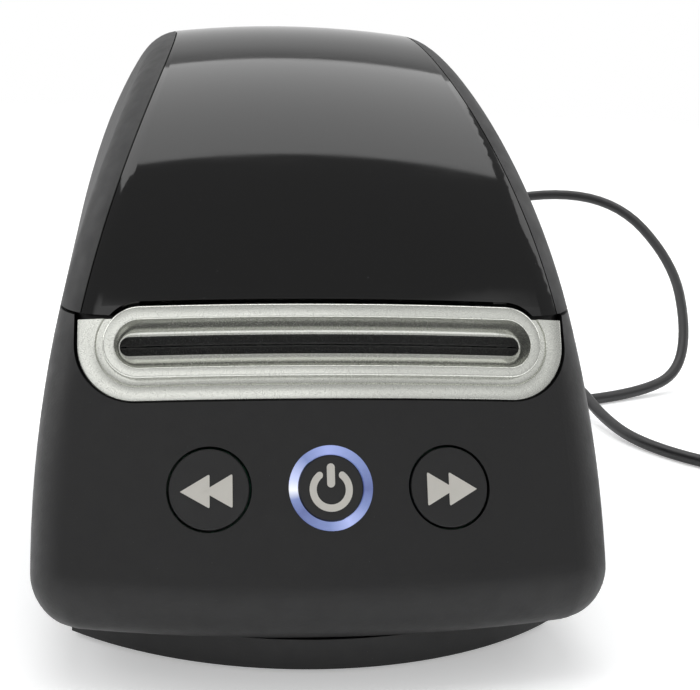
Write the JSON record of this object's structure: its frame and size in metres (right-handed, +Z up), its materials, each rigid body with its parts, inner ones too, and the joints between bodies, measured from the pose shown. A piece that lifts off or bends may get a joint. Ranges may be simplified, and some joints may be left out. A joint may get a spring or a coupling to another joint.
{
  "type": "desktop label printer",
  "caption": "Desktop thermal label printer with a hinged lid, front buttons, a label roll on a spool, a geared feed roller and a data lead.",
  "frame": {"origin": "middle of the footprint, on the surface that the printer stands on", "axes": "+Z up, +Y towards the back with the sockets and the lid's hinge, +X to the right seen from the front"},
  "size_m": [0.2815, 0.2955, 0.134],
  "materials": {
    "charcoal_plastic": "fine matte texture",
    "black_gloss": "polished",
    "black_plastic": "satin",
    "silver_plastic": "satin silver",
    "felt": "felt",
    "steel": "brushed",
    "clear_plastic": "clear",
    "board": "solder mask",
    "parts": "plain",
    "rubber": "matt",
    "paper": "smooth paper",
    "card": "card",
    "grey_plastic": "satin",
    "white_plastic": "satin",
    "ceramic": "glazed",
    "aluminium": "milled"
  },
  "bodies": {
    "housing": {"body_shell": "charcoal_plastic", "faceplate": "silver_plastic", "slot_felt": "felt", "tear_bar": "steel", "power_ring": "clear_plastic", "button_board": "board", "button_switches": "parts", "button_board_screws": "steel", "base_tray": "charcoal_plastic", "rubber_feet": "rubber", "base_screws": "steel", "inner_tray": "black_plastic", "mechanism_frame": "steel", "mechanism_screws": "steel", "platen_bushes": "white_plastic", "idler_pin": "steel", "motor_body": "steel", "head_spring": "steel", "gap_sensor": "parts", "label_web": "paper", "main_board": "board", "main_board_screws": "steel", "board_parts": "parts", "usb_socket": "steel", "power_socket": "parts", "cord_plug": "black_plastic", "cord_boot": "rubber", "cord_lead": "rubber", "cord_coil": "rubber", "cord_tail": "rubber", "far_plug": "black_plastic", "far_plug_shell": "steel"},
    "lid": {"lid_frame": "black_plastic", "lid_panel": "black_gloss", "hinge_pins": "steel"},
    "rewind": {"button_rewind": "charcoal_plastic"},
    "power": {"button_power": "charcoal_plastic"},
    "forward": {"button_forward": "charcoal_plastic"},
    "spool": {"spool_core": "grey_plastic", "roll_core": "card", "label_roll": "paper"},
    "guide": {"spool_guide": "grey_plastic"},
    "platen": {"platen_shaft": "steel", "platen_rubber": "rubber", "platen_gear": "white_plastic"},
    "idler": {"idler_gear": "white_plastic"},
    "rotor": {"motor_shaft": "steel", "motor_pinion": "steel"},
    "head": {"head_carrier": "aluminium", "print_head": "ceramic"},
    "release": {"lever_shaft": "steel", "release_lever": "grey_plastic"}
  },
  "joints": [
    {"name": "lid_hinge", "type": "hinge", "parent": "housing", "child": "lid", "pos_m": [0, 0.0907, 0.0746], "axis": [-1, 0, 0], "range_deg": [0, 80]},
    {"name": "rewind_press", "type": "slide", "parent": "housing", "child": "rewind", "axis": [0, 0.9063, -0.4226], "range_m": [0, 0.0008], "stiffness_N_per_m": 1200},
    {"name": "power_press", "type": "slide", "parent": "housing", "child": "power", "axis": [0, 0.9063, -0.4226], "range_m": [0, 0.0008], "stiffness_N_per_m": 1200},
    {"name": "forward_press", "type": "slide", "parent": "housing", "child": "forward", "axis": [0, 0.9063, -0.4226], "range_m": [0, 0.0008], "stiffness_N_per_m": 1200},
    {"name": "spool_spin", "type": "hinge", "parent": "housing", "child": "spool", "pos_m": [0, 0.038, 0.066], "axis": [1, 0, 0], "continuous": true, "deforming": ["label_web"]},
    {"name": "guide_slide", "type": "slide", "parent": "spool", "child": "guide", "axis": [1, 0, 0], "range_m": [0, 0.016]},
    {"name": "motor_spin", "type": "hinge", "parent": "housing", "child": "rotor", "pos_m": [0, -0.02865, 0.03055], "axis": [1, 0, 0], "continuous": true},
    {"name": "idler_spin", "type": "hinge", "parent": "housing", "child": "idler", "pos_m": [0, -0.04291, 0.04053], "axis": [1, 0, 0], "continuous": true},
    {"name": "platen_spin", "type": "hinge", "parent": "housing", "child": "platen", "pos_m": [0, -0.05602, 0.05615], "axis": [1, 0, 0], "continuous": true},
    {"name": "release_turn", "type": "hinge", "parent": "housing", "child": "release", "pos_m": [0, -0.03992, 0.05838], "axis": [1, 0, 0], "range_deg": [0, 60]},
    {"name": "head_lift", "type": "hinge", "parent": "housing", "child": "head", "pos_m": [0, -0.03108, 0.05881], "axis": [-1, 0, 0], "range_deg": [0, 4], "deforming": ["head_spring"]}
  ],
  "couplings": [
    {"joint": "idler_spin", "follows": "platen_spin", "ratio": -0.54546},
    {"joint": "motor_spin", "follows": "platen_spin", "ratio": 1.7143},
    {"joint": "head_lift", "follows": "release_turn", "ratio": 0.066667}
  ]
}
